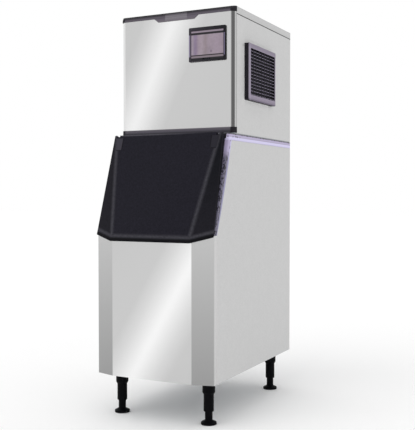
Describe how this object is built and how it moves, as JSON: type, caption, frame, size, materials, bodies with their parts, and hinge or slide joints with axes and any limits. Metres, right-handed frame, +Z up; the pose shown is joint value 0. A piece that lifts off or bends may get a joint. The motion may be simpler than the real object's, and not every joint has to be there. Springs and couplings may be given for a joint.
{
  "type": "crescent ice maker",
  "caption": "Modular crescent ice maker: stainless ice head with a black window and side air grille, on an insulated bin with a sloped black hood door and four levelling legs.",
  "frame": {"origin": "centre of the footprint's bounding rectangle at the floor, under the feet", "axes": "+X to the machine's right seen from the front, +Y to its back, -Y to its front with the door, +Z up"},
  "size_m": [0.5824, 0.919, 1.75],
  "materials": {
    "stainless": "satin",
    "galvanised": "satin",
    "steel_part": "polished",
    "copper": "satin",
    "aluminium": "satin",
    "compressor_black": "gloss",
    "door_black": "satin",
    "cap_black": "satin",
    "trim_grey": "satin",
    "rim_lilac": "satin",
    "white_plastic": "satin",
    "foam": "matte",
    "rubber": "matte",
    "leg_black": "satin",
    "bezel_black": "satin",
    "smoked_clear": "gloss",
    "grille_black": "satin",
    "grey_plastic": "satin",
    "button_green": "gloss",
    "button_blue": "gloss"
  },
  "bodies": {
    "cabinet": {"bin_front_panel": "stainless", "bin_side_panel_left": "stainless", "bin_side_panel_right": "stainless", "head_front_panel": "stainless", "head_side_panel_left": "stainless", "head_side_panel_right": "stainless", "head_top_cover": "stainless", "bin_base_pan": "galvanised", "bin_back_panel": "galvanised", "head_base_pan": "galvanised", "head_back_panel": "galvanised", "bulkhead": "galvanised", "control_box": "galvanised", "fan_shroud": "galvanised", "hinge_pin_left": "steel_part", "hinge_pin_right": "steel_part", "evaporator_plates": "steel_part", "evaporator_coil": "copper", "condenser": "aluminium", "compressor": "compressor_black", "fan_motor": "compressor_black", "water_pump": "cap_black", "top_trim": "trim_grey", "base_trim": "trim_grey", "rim_left": "rim_lilac", "rim_right": "rim_lilac", "rim_header": "rim_lilac", "rim_sill": "rim_lilac", "bin_liner": "white_plastic", "bin_drain": "white_plastic", "water_tank": "white_plastic", "water_distributor": "white_plastic", "ice_chute": "white_plastic", "inlet_valve": "white_plastic", "bin_insulation": "foam", "cord_gland": "rubber", "leg_front_left": "leg_black", "leg_front_right": "leg_black", "leg_back_left": "leg_black", "leg_back_right": "leg_black", "window_bezel": "bezel_black", "control_panel": "grey_plastic"},
    "door": {"door_shell": "door_black", "door_liner": "white_plastic", "door_gasket": "rubber", "hinge_cap_left": "cap_black", "hinge_cap_right": "cap_black"},
    "flap": {"window_cover": "smoked_clear"},
    "start_key": {"start_button": "button_green"},
    "clean_key": {"clean_button": "button_blue"},
    "rocker": {"power_rocker": "leg_black"},
    "cassette": {"intake_grille": "grille_black", "air_filter": "grille_black"},
    "fan": {"fan_blade": "grey_plastic"},
    "float_body": {"float": "white_plastic"},
    "paddle": {"bin_paddle": "galvanised"},
    "screw_foot_front_left": {"foot_front_left": "leg_black"},
    "screw_foot_front_right": {"foot_front_right": "leg_black"},
    "screw_foot_back_left": {"foot_back_left": "leg_black"},
    "screw_foot_back_right": {"foot_back_right": "leg_black"}
  },
  "joints": [
    {"name": "door_hinge", "type": "hinge", "parent": "cabinet", "child": "door", "pos_m": [-0.00885, -0.29354, 1.20066], "axis": [-1, 0, 0], "range_deg": [0, 165]},
    {"name": "flap_hinge", "type": "hinge", "parent": "cabinet", "child": "flap", "pos_m": [0.14465, -0.22607, 1.6549], "axis": [1, 0, 0], "range_deg": [-95, 0]},
    {"name": "start_key_press", "type": "slide", "parent": "cabinet", "child": "start_key", "axis": [0, 1, 0], "range_m": [0, 0.002], "stiffness_N_per_m": 400, "springref_m": -0.002},
    {"name": "clean_key_press", "type": "slide", "parent": "cabinet", "child": "clean_key", "axis": [0, 1, 0], "range_m": [0, 0.002], "stiffness_N_per_m": 400, "springref_m": -0.002},
    {"name": "rocker_pivot", "type": "hinge", "parent": "cabinet", "child": "rocker", "pos_m": [0.17895, -0.20587, 1.5608], "axis": [1, 0, 0], "range_deg": [0, 16]},
    {"name": "cassette_slide", "type": "slide", "parent": "cabinet", "child": "cassette", "axis": [1, 0, 0], "range_m": [0, 0.06]},
    {"name": "fan_spin", "type": "hinge", "parent": "cabinet", "child": "fan", "pos_m": [0.16115, 0.03553, 1.488], "axis": [1, 0, 0], "continuous": true},
    {"name": "float_rise", "type": "slide", "parent": "cabinet", "child": "float_body", "axis": [0, 0, 1], "range_m": [0, 0.018]},
    {"name": "paddle_swing", "type": "hinge", "parent": "cabinet", "child": "paddle", "pos_m": [-0.13885, -0.06347, 1.202], "axis": [1, 0, 0], "range_deg": [0, 28]},
    {"name": "foot_screw_front_left", "type": "slide", "parent": "cabinet", "child": "screw_foot_front_left", "axis": [0, 0, -1], "range_m": [0, 0.02]},
    {"name": "foot_screw_front_right", "type": "slide", "parent": "cabinet", "child": "screw_foot_front_right", "axis": [0, 0, -1], "range_m": [0, 0.02]},
    {"name": "foot_screw_back_left", "type": "slide", "parent": "cabinet", "child": "screw_foot_back_left", "axis": [0, 0, -1], "range_m": [0, 0.02]},
    {"name": "foot_screw_back_right", "type": "slide", "parent": "cabinet", "child": "screw_foot_back_right", "axis": [0, 0, -1], "range_m": [0, 0.02]}
  ]
}
